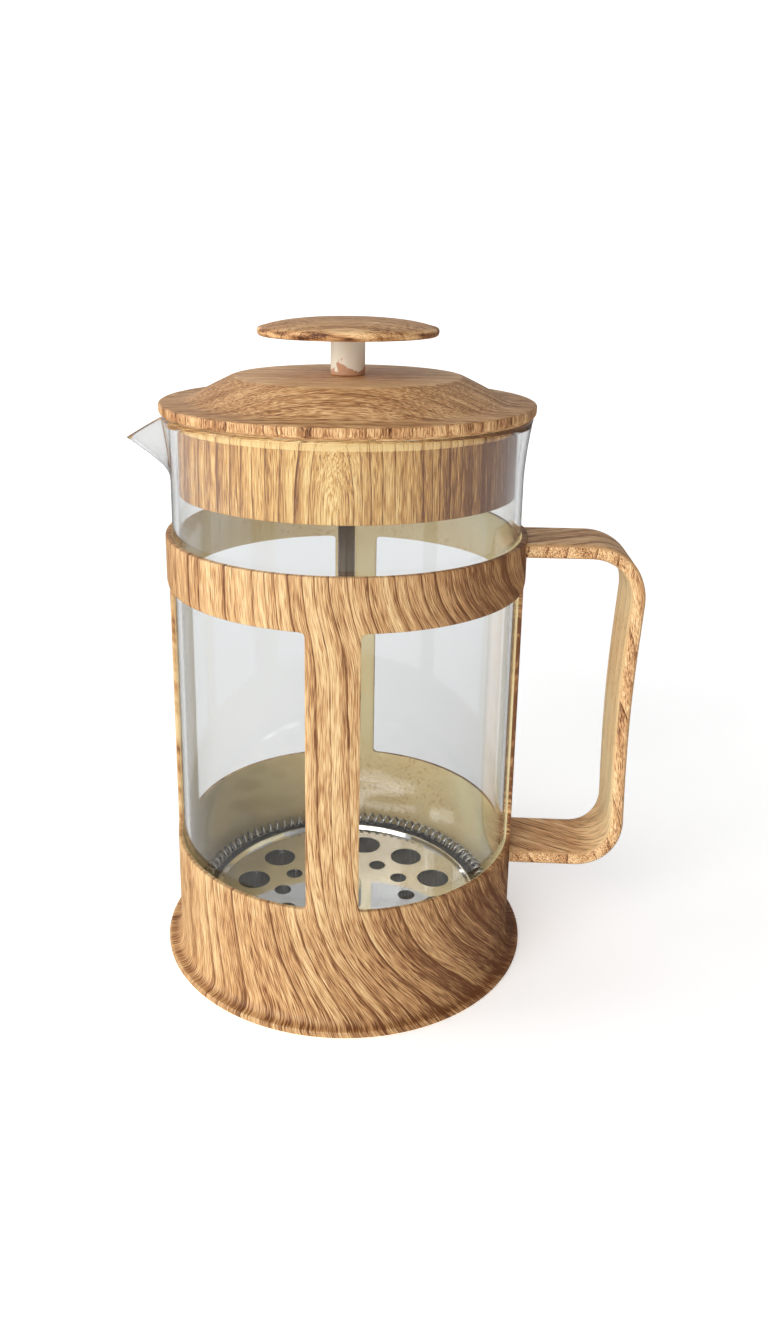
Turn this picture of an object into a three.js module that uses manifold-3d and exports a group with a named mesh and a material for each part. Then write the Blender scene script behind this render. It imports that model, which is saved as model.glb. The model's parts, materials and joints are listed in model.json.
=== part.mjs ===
// French press: a glass beaker in a moulded cage, with a lid, a plunger and a spring-edged filter.
// Millimetres, +Z up. The origin is the centre of the cage's flat underside, on the beaker's axis.
// +X points at the handle, -X at the spout. The plunger is pushed right down, as it is stored.
import * as THREE from 'three';
import { mergeVertices } from 'three/addons/utils/BufferGeometryUtils.js';
import Module from 'manifold-3d';

const wasm = await Module();
wasm.setup();

// ---------- Driving dimensions ----------

// Beaker
const GLASS_R = 49.9;
const GLASS_WALL = 1.7;
const GLASS_FLOOR = 2.6;
const GLASS_FOOT_ROUND = 6;
const GLASS_RIM_Z = 164.5;
const FLARE = 1.9;
const FLARE_HEIGHT = 18.5;
const SPOUT_REACH = 12;
const SPOUT_DROP = 8;
const SPOUT_HEIGHT = 17.8;
const SPOUT_HALF_WIDTH = 14;
const SPOUT_PINCH = 0.3;

// Cage
const CAGE_GAP = 0.2;
const CAGE_WALL = 1.4;
const CAGE_FLOOR = 2.2;
const RING_PROUD = 0.4;
const RING_Z = 116.2;
const RING_HEIGHT = 14.8;
const BAND_TOP = 37.2;
const RIB_WIDTH = 14.4;
const RIB_COUNT = 4;
const FOOT_PROUD = 4;
const FOOT_RIM = 1.8;
const FOOT_FILLET = 5;
const GLASS_REST_GAP = 0.1;

// Handle
const HANDLE_WIDTH = 22;
const HANDLE_THICK = 4.1;
const HANDLE_REACH = 31.2;
const HANDLE_WAIST = 2.2;
const HANDLE_CORNER = 12;
const HANDLE_TOP_STEP = 1;
const HANDLE_FOOT_STEP = 2.9;
const HANDLE_EDGE = 1.2;
const HANDLE_SEAT_GAP = 0.3;

// Lid
const LID_REST_GAP = 0.2;
const LID_RIM_HEIGHT = 3.3;
const LID_OVERHANG = 0.9;
const LID_RIM_TUCK = 1.1;
const LID_SHOULDER = 7.8;
const LID_SLOPE = 12.9;
const DOME_HEIGHT = 6.9;
const LID_WALL = 2.2;
const COLLAR_GAP = 0.5;
const COLLAR_WALL = 1.6;
const COLLAR_DEPTH = 21.5;
const COLLAR_BAND = 3.2;
const COLLAR_BAND_PROUD = 0.3;
const GUIDE_WALL = 3;
const GUIDE_LENGTH = 12;
const SPLASH_THICK = 0.6;
const SPLASH_LIFT = 0.6;
const SPLASH_HOLE_R = 1.5;
const SPLASH_HOLES = 12;

// Plunger
const ROD_R = 2.5;
const ROD_CLEARANCE = 0.1;
const THREAD_CLEARANCE = 0.05;
const SHANK_R = 4.8;
const SHANK_HEIGHT = 10.6;
const SHANK_REST_GAP = 0.05;
const SHANK_LIP = 2;
const SHANK_SOCKET = 1;
const INSERT_WALL = 0.9;
const KNOB_R = 25.3;
const KNOB_RIM = 2.5;
const KNOB_CROWN = 2.6;
const ROD_TOP_INSET = 2.2;

// Filter
const NUT_CLEARANCE = 1.6;
const NUT_R = 4.6;
const NUT_HEIGHT = 2.8;
const CROSS_THICK = 0.8;
const CROSS_INSET = 7;
const CROSS_HOLE_R = 7.5;
const CROSS_RIM = 5;
const CROSS_HOLE_PITCH = 22;
const STACK_GAP = 0.05;
const SCREEN_THICK = 0.3;
const SCREEN_HEM = 0.5;
const COIL_GAP = 0.4;
const COIL_THICK = 5;
const COIL_WIRE_R = 0.4;
const COIL_PITCH = 6;
const PLATE_THICK = 0.6;
const PLATE_BEAD_R = 0.9;
const PLATE_INSET = 0.4;
const BIG_HOLE_R = 5.2;
const BIG_HOLE_INSET = 12;
const BIG_HOLE_PITCH = 15.4;
const SMALL_HOLE_R = 2.7;
const SMALL_HOLE_STEP = 10.6;
const SMALL_HOLE_PITCH = 9.9;
const STOP_R = 5.5;
const STOP_HEIGHT = 5;

// Fineness of the round shapes
const ROUND = 48;
const BEAKER_ROUND = 60;
const SPOUT_CROWDING = 0.6;
const SMALL_ROUND = 24;
const HOLE_ROUND = 12;

// ---------- Sizes that follow ----------

const glassInner = GLASS_R - GLASS_WALL;
const rimOuter = GLASS_R + FLARE;
const glassBottom = CAGE_FLOOR + GLASS_REST_GAP;

const cageInner = GLASS_R + CAGE_GAP;
const cageOuter = cageInner + CAGE_WALL;
const ringOuter = cageOuter + RING_PROUD;
const ringTop = RING_Z + RING_HEIGHT;
const footR = cageOuter + FOOT_PROUD;

const lidBottom = GLASS_RIM_Z + LID_REST_GAP;
const lidR = rimOuter + LID_OVERHANG;
const shoulderR = lidR - LID_SHOULDER;
const domeR = shoulderR - LID_SLOPE;
const shoulderZ = lidBottom + LID_RIM_HEIGHT;
const lidTop = shoulderZ + DOME_HEIGHT;
const collarOuter = glassInner - COLLAR_GAP;
const collarInner = collarOuter - COLLAR_WALL;
const collarBottom = lidBottom - COLLAR_DEPTH;

const rodHole = ROD_R + ROD_CLEARANCE;
const threadHole = ROD_R + THREAD_CLEARANCE;
const shankBottom = lidTop + SHANK_REST_GAP;
const knobBottom = shankBottom + SHANK_HEIGHT;

const nutBottom = glassBottom + GLASS_FLOOR + NUT_CLEARANCE;
const crossBottom = nutBottom + NUT_HEIGHT + STACK_GAP;
const screenBottom = crossBottom + CROSS_THICK + STACK_GAP;
const plateBottom = screenBottom + SCREEN_THICK + STACK_GAP;
const coilOuter = glassInner - COIL_GAP;
const coilR = coilOuter - COIL_THICK / 2;
const coilZ = plateBottom + COIL_THICK / 2;
const plateR = coilOuter - COIL_THICK - PLATE_INSET;
const crossR = plateR - CROSS_INSET;

// ---------- Solids ----------

// A closed shape with shared corners, no slivers, and its faces pointing out.
function closed(geometry) {
  const bare = new THREE.BufferGeometry();
  bare.setAttribute('position', geometry.getAttribute('position'));
  if (geometry.index) bare.setIndex(geometry.index);
  const merged = mergeVertices(bare, 1e-4);
  const position = merged.getAttribute('position');
  const corners = merged.index.array;
  const faces = [];
  let volume = 0;
  const [a, b, c] = [new THREE.Vector3(), new THREE.Vector3(), new THREE.Vector3()];
  for (let i = 0; i < corners.length; i += 3) {
    const [p, q, r] = [corners[i], corners[i + 1], corners[i + 2]];
    if (p === q || q === r || r === p) continue;
    a.fromBufferAttribute(position, p);
    b.fromBufferAttribute(position, q);
    c.fromBufferAttribute(position, r);
    volume += a.dot(b.cross(c));
    faces.push([p, q, r]);
  }
  const outward = volume > 0 ? faces : faces.map(([p, q, r]) => [p, r, q]);
  merged.setIndex(outward.flat());
  return merged;
}

function toSolid(geometry) {
  const shape = closed(geometry);
  return new wasm.Manifold(new wasm.Mesh({
    numProp: 3,
    vertProperties: new Float32Array(shape.getAttribute('position').array),
    triVerts: new Uint32Array(shape.index.array),
  }));
}

function fromSolid(solid) {
  const mesh = solid.getMesh();
  const geometry = new THREE.BufferGeometry();
  geometry.setAttribute('position', new THREE.BufferAttribute(mesh.vertProperties, 3));
  geometry.setIndex(Array.from(mesh.triVerts));
  return geometry;
}

function cut(geometry, tools) {
  return fromSolid(tools.reduce((rest, tool) => rest.subtract(toSolid(tool)), toSolid(geometry)));
}

// A profile of [radius, height] points turned about the Z axis.
function turned(profile, segments = ROUND) {
  const points = profile.map(([r, z]) => new THREE.Vector2(r, z));
  return new THREE.LatheGeometry(points, segments).rotateX(Math.PI / 2);
}

// A ring with a rectangular section.
function ring(inner, outer, bottom, top, segments = ROUND) {
  return turned([[inner, bottom], [outer, bottom], [outer, top], [inner, top], [inner, bottom]], segments);
}

// An upright round bar, used on its own or as a drill.
function bar(x, y, radius, bottom, top, segments = HOLE_ROUND) {
  const shape = new THREE.CylinderGeometry(radius, radius, top - bottom, segments).rotateX(Math.PI / 2);
  return shape.translate(x, y, (bottom + top) / 2);
}

// Upright drills, evenly spaced on a circle.
function drills(count, circleR, holeR, bottom, top, start = 0) {
  return Array.from({ length: count }, (_, i) => {
    const angle = start + (2 * Math.PI * i) / count;
    return bar(circleR * Math.cos(angle), circleR * Math.sin(angle), holeR, bottom - 1, top + 1);
  });
}

// Points on an arc from one angle to another, in degrees.
function arc(r, z, radius, from, to, steps) {
  return Array.from({ length: steps + 1 }, (_, i) => {
    const angle = THREE.MathUtils.degToRad(from + ((to - from) * i) / steps);
    return [r + radius * Math.cos(angle), z + radius * Math.sin(angle)];
  });
}

// ---------- Materials ----------

const grain = () => new THREE.MeshStandardMaterial({ color: 0xb07f4c, roughness: 0.45, metalness: 0 });
const whitePlastic = () => new THREE.MeshStandardMaterial({ color: 0xefe9dd, roughness: 0.4, metalness: 0 });
const steel = () => new THREE.MeshStandardMaterial({ color: 0xb9bbbd, roughness: 0.25, metalness: 1 });
const brass = () => new THREE.MeshStandardMaterial({ color: 0xb8924a, roughness: 0.35, metalness: 1 });
const clearGlass = () => new THREE.MeshStandardMaterial({
  color: 0xe8eeee,
  roughness: 0.05,
  metalness: 0,
  transparent: true,
  opacity: 0.3,
});

const press = new THREE.Group();

function add(name, geometry, material) {
  const mesh = new THREE.Mesh(closed(geometry), material);
  mesh.name = name;
  press.add(mesh);
}

// ---------- Cage ----------

// The foot flange, the flat floor and the low band are one cup.
function baseCup() {
  const neckZ = FOOT_RIM + FOOT_FILLET;
  return turned([
    [0, 0],
    [footR - 0.4, 0],
    [footR, 0.5],
    [footR, FOOT_RIM - 0.5],
    [footR - 0.5, FOOT_RIM],
    ...arc(footR - 0.5, neckZ, FOOT_PROUD - 0.5, 270, 180, 5).slice(1).map(([r, z]) => [
      r,
      neckZ - ((neckZ - z) * FOOT_FILLET) / (FOOT_PROUD - 0.5),
    ]),
    [cageOuter, BAND_TOP],
    [cageInner, BAND_TOP],
    [cageInner, CAGE_FLOOR],
    [0, CAGE_FLOOR],
  ]);
}

function rib(angle) {
  const half = RIB_WIDTH / 2 / cageOuter;
  const section = new THREE.Shape();
  section.absarc(0, 0, cageOuter, angle - half, angle + half, false);
  section.absarc(0, 0, cageInner, angle + half, angle - half, true);
  return new THREE.ExtrudeGeometry(section, {
    depth: RING_Z - BAND_TOP,
    bevelEnabled: false,
    curveSegments: 6,
  }).translate(0, 0, BAND_TOP);
}

// The handle's middle line, as [distance from the axis, height].
function handleLine() {
  const upperZ = ringTop - HANDLE_TOP_STEP - HANDLE_THICK / 2;
  const lowerZ = BAND_TOP - HANDLE_FOOT_STEP - HANDLE_THICK / 2;
  const outerX = ringOuter + HANDLE_REACH;
  const root = GLASS_R - 4;
  const corner = HANDLE_CORNER;
  const line = new THREE.Path();
  line.moveTo(root, upperZ);
  line.lineTo(outerX - 1.15 * corner, upperZ);
  line.bezierCurveTo(
    outerX - 0.4 * corner, upperZ,
    outerX + 0.04 * corner, upperZ - 0.62 * corner,
    outerX - 0.02 * corner, upperZ - 1.3 * corner,
  );
  line.bezierCurveTo(
    outerX - 0.6 * HANDLE_WAIST, upperZ - 2.9 * corner,
    outerX - 1.1 * HANDLE_WAIST, (upperZ + lowerZ) / 2,
    outerX - 0.55 * HANDLE_WAIST, lowerZ + 1.1 * corner,
  );
  line.bezierCurveTo(
    outerX - 0.4 * HANDLE_WAIST, lowerZ + 0.5 * corner,
    outerX - 0.45 * corner, lowerZ,
    outerX - 1.1 * corner, lowerZ,
  );
  line.lineTo(root, lowerZ);
  return line;
}

// A flat strip that follows a line in the XZ plane, with its edges rounded off.
function strip(line, thick, width, edge, steps) {
  const near = [];
  const far = [];
  for (let i = 0; i <= steps; i += 1) {
    const point = line.getPointAt(i / steps);
    const tangent = line.getTangentAt(i / steps);
    const side = new THREE.Vector2(-tangent.y, tangent.x).multiplyScalar(thick / 2);
    near.push(point.clone().add(side));
    far.push(point.clone().sub(side));
  }
  return new THREE.ExtrudeGeometry(new THREE.Shape([...near, ...far.reverse()]), {
    depth: width - 2 * edge,
    bevelThickness: edge,
    bevelSize: edge,
    bevelOffset: -edge,
    bevelSegments: 2,
  }).rotateX(Math.PI / 2).translate(0, width / 2 - edge, 0);
}

// The arms stop just short of the band and the ring that they are moulded to.
function handle() {
  const bandSeat = cageOuter + HANDLE_SEAT_GAP;
  const ringSeat = ringOuter + HANDLE_SEAT_GAP;
  const core = turned([
    [0, 0],
    [bandSeat, 0],
    [bandSeat, RING_Z],
    [ringSeat, RING_Z],
    [ringSeat, ringTop + HANDLE_THICK],
    [0, ringTop + HANDLE_THICK],
  ]);
  return cut(strip(handleLine(), HANDLE_THICK, HANDLE_WIDTH, HANDLE_EDGE, 44), [core]);
}

add('base_cup', baseCup(), grain());
['right', 'back', 'left', 'front'].forEach((side, i) => {
  add(`rib_${side}`, rib((2 * Math.PI * i) / RIB_COUNT), grain());
});
add('upper_ring', ring(cageInner, ringOuter, RING_Z, ringTop), grain());
add('handle', handle(), grain());

// ---------- Beaker ----------

// Crowds the upright edges of a turned shape towards the -X side, where the spout needs them.
function crowd(geometry) {
  const position = geometry.getAttribute('position');
  for (let i = 0; i < position.count; i += 1) {
    const [x, y] = [position.getX(i), position.getY(i)];
    const radius = Math.hypot(x, y);
    const angle = Math.atan2(y, -x);
    const moved = angle - SPOUT_CROWDING * Math.sin(angle);
    position.setXY(i, -radius * Math.cos(moved), radius * Math.sin(moved));
  }
  return geometry;
}

// Pulls the rim out and down into a pinched lip on the -X side.
function pullSpout(geometry) {
  const position = geometry.getAttribute('position');
  const keelZ = GLASS_RIM_Z - SPOUT_HEIGHT;
  for (let i = 0; i < position.count; i += 1) {
    const [x, y, z] = [position.getX(i), position.getY(i), position.getZ(i)];
    const across = Math.abs(y) / SPOUT_HALF_WIDTH;
    if (x > 0 || z < keelZ || across >= 1) continue;
    const pull = (1 - across ** 2) ** 1.5 * ((z - keelZ) / SPOUT_HEIGHT);
    position.setXYZ(i, x - SPOUT_REACH * pull, y * (1 - SPOUT_PINCH * pull), z - SPOUT_DROP * pull);
  }
  return geometry;
}

function beaker() {
  const flareZ = GLASS_RIM_Z - FLARE_HEIGHT;
  const flare = [0, 0.35, 0.6, 0.8, 0.93].map((share) => [FLARE * share ** 1.7, flareZ + FLARE_HEIGHT * share]);
  const round = GLASS_WALL / 2;
  const innerRound = GLASS_FOOT_ROUND - GLASS_WALL;
  const innerFloor = glassBottom + GLASS_FLOOR;
  return pullSpout(crowd(turned([
    [0, glassBottom],
    ...arc(GLASS_R - GLASS_FOOT_ROUND, glassBottom + GLASS_FOOT_ROUND, GLASS_FOOT_ROUND, 270, 360, 5),
    ...flare.map(([out, z]) => [GLASS_R + out, z]),
    ...arc(rimOuter - round, GLASS_RIM_Z - round, round, 0, 180, 4),
    ...flare.reverse().map(([out, z]) => [glassInner + out, z]),
    ...arc(glassInner - innerRound, innerFloor + innerRound, innerRound, 360, 270, 5),
    [0, innerFloor],
  ], BEAKER_ROUND)));
}

add('beaker', beaker(), clearGlass());

// ---------- Lid ----------

// A shallow dome with a flat top, a tucked rim, and a tube below that guides the rod.
function lidCap() {
  const tuck = LID_RIM_TUCK;
  const guideBottom = lidTop - LID_WALL - GUIDE_LENGTH;
  return turned([
    [rodHole, guideBottom],
    [rodHole, lidTop],
    [domeR - 1.5, lidTop],
    [domeR + 0.4, lidTop - 0.5],
    [shoulderR - 1, shoulderZ + 0.5],
    [shoulderR + 1, shoulderZ],
    [lidR - 0.7, shoulderZ + 0.1],
    [lidR, shoulderZ - 0.6],
    [lidR - 0.2, lidBottom + 1],
    [lidR - tuck, lidBottom],
    [collarInner - 1, lidBottom],
    [collarInner - 2, lidBottom + 1],
    [shoulderR - 1.4, shoulderZ + 0.4 - LID_WALL],
    [domeR - 0.6, lidTop - LID_WALL],
    [ROD_R + GUIDE_WALL, lidTop - LID_WALL],
    [ROD_R + GUIDE_WALL, guideBottom],
    [rodHole, guideBottom],
  ]);
}

// The skirt that centres the lid in the beaker, with a proud band under the rim.
function lidCollar() {
  const bandBottom = lidBottom - COLLAR_BAND;
  return turned([
    [collarInner, collarBottom],
    [collarOuter - 0.4, collarBottom],
    [collarOuter, collarBottom + 0.4],
    [collarOuter, bandBottom],
    [collarOuter + COLLAR_BAND_PROUD, bandBottom + 0.3],
    [collarOuter + COLLAR_BAND_PROUD, lidBottom],
    [collarInner, lidBottom],
    [collarInner, collarBottom],
  ]);
}

// The steel disc that closes the skirt, holed round its edge so that it drains.
function splashPlate() {
  const bottom = collarBottom + SPLASH_LIFT;
  const top = bottom + SPLASH_THICK;
  const plate = ring(rodHole, collarInner - STACK_GAP, bottom, top);
  return cut(plate, drills(SPLASH_HOLES, collarInner - 4 * SPLASH_HOLE_R, SPLASH_HOLE_R, bottom, top));
}

add('lid_cap', lidCap(), grain());
add('lid_collar', lidCollar(), grain());
add('splash_plate', splashPlate(), steel());

// ---------- Plunger ----------

// The turned disc under the palm, with a shallow socket for the shank.
function knob() {
  const socketR = SHANK_R + STACK_GAP;
  const rimTop = knobBottom + KNOB_RIM;
  return turned([
    [0, knobBottom + SHANK_SOCKET],
    [socketR, knobBottom + SHANK_SOCKET],
    [socketR, knobBottom + 0.35],
    [KNOB_R - 1.6, knobBottom],
    [KNOB_R - 0.4, knobBottom + 0.5],
    [KNOB_R, knobBottom + 1.3],
    [KNOB_R - 0.3, rimTop - 0.3],
    [KNOB_R - 1.4, rimTop + 0.35],
    [KNOB_R - 8, rimTop + 0.66 * KNOB_CROWN],
    [KNOB_R - 15, rimTop + 0.92 * KNOB_CROWN],
    [0, rimTop + KNOB_CROWN],
  ]);
}

// The shank is bored for the brass insert from above, down to a lip that the insert rests on.
const insertR = threadHole + INSERT_WALL;
const shankTop = knobBottom + SHANK_SOCKET - STACK_GAP;
const lipTop = shankBottom + SHANK_LIP;

function knobShank() {
  return turned([
    [rodHole, shankBottom],
    [SHANK_R - 0.4, shankBottom],
    [SHANK_R, shankBottom + 0.4],
    [SHANK_R, shankTop],
    [insertR + STACK_GAP, shankTop],
    [insertR + STACK_GAP, lipTop],
    [rodHole, lipTop],
    [rodHole, shankBottom],
  ], SMALL_ROUND);
}

add('knob', knob(), grain());
add('knob_shank', knobShank(), whitePlastic());
add('knob_insert', ring(threadHole, insertR, lipTop + STACK_GAP, shankTop - STACK_GAP, SMALL_ROUND), brass());
add('rod', bar(0, 0, ROD_R, nutBottom, shankTop - ROD_TOP_INSET, SMALL_ROUND), steel());

// ---------- Filter ----------

const plateTop = plateBottom + PLATE_THICK;

// The drilled disc on top of the stack, with a rolled bead inside the coil.
function topPlate() {
  const beadZ = plateBottom + PLATE_BEAD_R;
  const plate = turned([
    [threadHole, plateBottom],
    ...arc(plateR - PLATE_BEAD_R, beadZ, PLATE_BEAD_R, 270, 450, 6),
    [plateR - 2 * PLATE_BEAD_R, plateTop],
    [threadHole, plateTop],
    [threadHole, plateBottom],
  ]);
  const bigR = plateR - BIG_HOLE_INSET;
  const smallR = bigR - SMALL_HOLE_STEP;
  const bigCount = Math.floor((2 * Math.PI * bigR) / BIG_HOLE_PITCH);
  const smallCount = Math.floor((2 * Math.PI * smallR) / SMALL_HOLE_PITCH);
  return cut(plate, [
    ...drills(bigCount, bigR, BIG_HOLE_R, plateBottom, plateTop, Math.PI / 9),
    ...drills(smallCount, smallR, SMALL_HOLE_R, plateBottom, plateTop),
  ]);
}

// The wire spring that wraps the edge of the stack and wipes the glass, short of closing by one turn.
function coilSpring() {
  const turns = Math.floor((2 * Math.PI * coilR) / COIL_PITCH);
  const wireR = COIL_THICK / 2 - COIL_WIRE_R;
  const stepsPerTurn = 6;
  class Helix extends THREE.Curve {
    getPoint(share, target = new THREE.Vector3()) {
      const around = (2 * Math.PI * share * (turns - 1)) / turns;
      const twist = 2 * Math.PI * share * (turns - 1);
      const r = coilR + wireR * Math.cos(twist);
      return target.set(r * Math.cos(around), r * Math.sin(around), coilZ + wireR * Math.sin(twist));
    }
  }
  const section = new THREE.Shape();
  for (let i = 0; i < 4; i += 1) {
    const angle = (Math.PI / 2) * i;
    section[i ? 'lineTo' : 'moveTo'](COIL_WIRE_R * Math.cos(angle), COIL_WIRE_R * Math.sin(angle));
  }
  return new THREE.ExtrudeGeometry(section, { steps: (turns - 1) * stepsPerTurn, extrudePath: new Helix() });
}

// The woven screen, shown as a thin disc with the hem that holds its edge.
function meshScreen() {
  const edge = coilOuter - STACK_GAP;
  const top = screenBottom + SCREEN_THICK;
  return turned([
    [threadHole, screenBottom],
    [edge, screenBottom],
    [edge, top + SCREEN_HEM],
    [edge - SCREEN_THICK, top + SCREEN_HEM],
    [edge - SCREEN_THICK, top],
    [threadHole, top],
    [threadHole, screenBottom],
  ]);
}

// The stiff plate under the screen, with large openings.
function crossPlate() {
  const top = crossBottom + CROSS_THICK;
  const plate = ring(threadHole, crossR, crossBottom, top);
  const circleR = crossR - CROSS_HOLE_R - CROSS_RIM;
  const count = Math.floor((2 * Math.PI * circleR) / CROSS_HOLE_PITCH);
  return cut(plate, drills(count, circleR, CROSS_HOLE_R, crossBottom, top));
}

// The six-sided nut that clamps the stack on the rod.
function clampNut() {
  return cut(bar(0, 0, NUT_R, nutBottom, nutBottom + NUT_HEIGHT, 6), [
    bar(0, 0, threadHole, nutBottom - 1, nutBottom + NUT_HEIGHT + 1, SMALL_ROUND),
  ]);
}

const stopBottom = plateTop + STACK_GAP;
add('clamp_nut', clampNut(), steel());
add('cross_plate', crossPlate(), steel());
add('mesh_screen', meshScreen(), steel());
add('coil_spring', coilSpring(), steel());
add('top_plate', topPlate(), steel());
add('rod_stop', ring(threadHole, STOP_R, stopBottom, stopBottom + STOP_HEIGHT, SMALL_ROUND), steel());

export default press;
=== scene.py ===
# %% [markdown]
# # A french press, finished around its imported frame
# The object is a glass beaker that stands in a moulded plastic cage printed to look like wood.
# A lid drops into the beaker, and a plunger slides through it with a steel filter at its foot.
# The sizes and the moving bodies were settled in CAD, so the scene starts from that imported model
# and swaps each plain solid for a finished piece of the same size. Nothing is placed by eye.

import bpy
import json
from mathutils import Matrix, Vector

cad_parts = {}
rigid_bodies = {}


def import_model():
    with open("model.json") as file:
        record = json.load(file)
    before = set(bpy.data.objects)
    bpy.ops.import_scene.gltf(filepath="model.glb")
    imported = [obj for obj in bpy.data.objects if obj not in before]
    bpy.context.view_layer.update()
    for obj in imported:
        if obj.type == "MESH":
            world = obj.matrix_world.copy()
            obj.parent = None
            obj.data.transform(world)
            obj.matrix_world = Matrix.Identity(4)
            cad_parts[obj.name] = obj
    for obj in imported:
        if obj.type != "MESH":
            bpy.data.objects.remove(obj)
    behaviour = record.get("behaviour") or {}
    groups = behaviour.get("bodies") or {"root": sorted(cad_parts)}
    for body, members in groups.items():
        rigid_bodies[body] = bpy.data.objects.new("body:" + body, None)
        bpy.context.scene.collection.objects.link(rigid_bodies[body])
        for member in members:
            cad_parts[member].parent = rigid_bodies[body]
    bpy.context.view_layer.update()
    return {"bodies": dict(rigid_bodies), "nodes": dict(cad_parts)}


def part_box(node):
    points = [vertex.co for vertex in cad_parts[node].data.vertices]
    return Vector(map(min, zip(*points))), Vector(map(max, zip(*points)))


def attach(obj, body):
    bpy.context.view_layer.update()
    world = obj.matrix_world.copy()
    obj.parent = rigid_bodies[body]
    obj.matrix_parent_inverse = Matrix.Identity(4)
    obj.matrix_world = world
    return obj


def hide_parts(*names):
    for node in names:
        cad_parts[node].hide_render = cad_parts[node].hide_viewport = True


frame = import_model()
print("bodies:", ", ".join(sorted(frame["bodies"])), "| nodes:", len(frame["nodes"]))

# %% [markdown]
# ## Measuring
# Blender works in metres and a kitchen tool is easier to think about in millimetres, so every
# size here is in millimetres and is scaled once, when a mesh is made. `span` asks the frame where
# a CAD node lies, and `girth` does it for a round one, so the pieces stay right if a size changes.

# %% Millimetres, and where each node lies
import json
from functools import partialmethod
from math import atan2, cos, hypot, pi, radians, sin, sqrt, tanh

import bmesh
import bpy
from mathutils import Matrix, Vector, noise

MM = 0.001


def span(node):
    """A node's lowest and highest corners, in millimetres."""
    return [[value / MM for value in corner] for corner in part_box(node)]


def girth(node):
    """A round node's radius, bottom and top, in millimetres."""
    low, high = span(node)
    return high[0], low[2], high[2]


FOOT_R, _, BAND_TOP = girth("base_cup")
RING_R, RING_Z, RING_TOP = girth("upper_ring")
rib_low, rib_high = span("rib_front")
CAGE_R = -rib_low[1]
print(f"cage: band top {BAND_TOP:.1f}, ring {RING_Z:.1f} to {RING_TOP:.1f}, radius {CAGE_R:.1f}")

# %% [markdown]
# ## Camera
# The view is from just above the lid, a little to the left of the handle. The lens is shifted, as
# on a studio camera, so that the press stands upright in the frame while the camera looks down.

# %% Camera
def adjust(thing, **settings):
    """Sets several attributes of a thing."""
    for key, value in settings.items():
        setattr(thing, key, value)


def link(name, data):
    """A new object in the scene that shows some data."""
    made = bpy.data.objects.new(name, data)
    bpy.context.collection.objects.link(made)
    return made


CAMERA_AT = Vector((19.9, -308.2, 206.8))
HEADING = radians(3.5)
PITCH = radians(16.136)
ROLL = radians(0.458)
lens = bpy.data.cameras.new("camera")
adjust(lens, sensor_fit="VERTICAL", sensor_height=36, lens=29.35, clip_start=0.01)
adjust(lens, shift_x=0.0253, shift_y=-0.074)
camera = link("camera", lens)
camera.matrix_world = (
    Matrix.Translation(CAMERA_AT * MM)
    @ Matrix.Rotation(HEADING, 4, "Z")
    @ Matrix.Rotation(pi / 2 - PITCH, 4, "X")
    @ Matrix.Rotation(ROLL, 4, "Z")
)
bpy.context.scene.camera = camera
print("camera at", [round(value, 4) for value in camera.matrix_world.translation])

# %% [markdown]
# ## Writing node trees as sums
# A material is a formula: streaks plus bands minus pores, mixed between three colours. Wiring
# dozens of nodes by hand hides that, so one small class wraps a socket and lets Python's own
# operators build the nodes. `node` makes any other kind, from what goes into its sockets.

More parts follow.
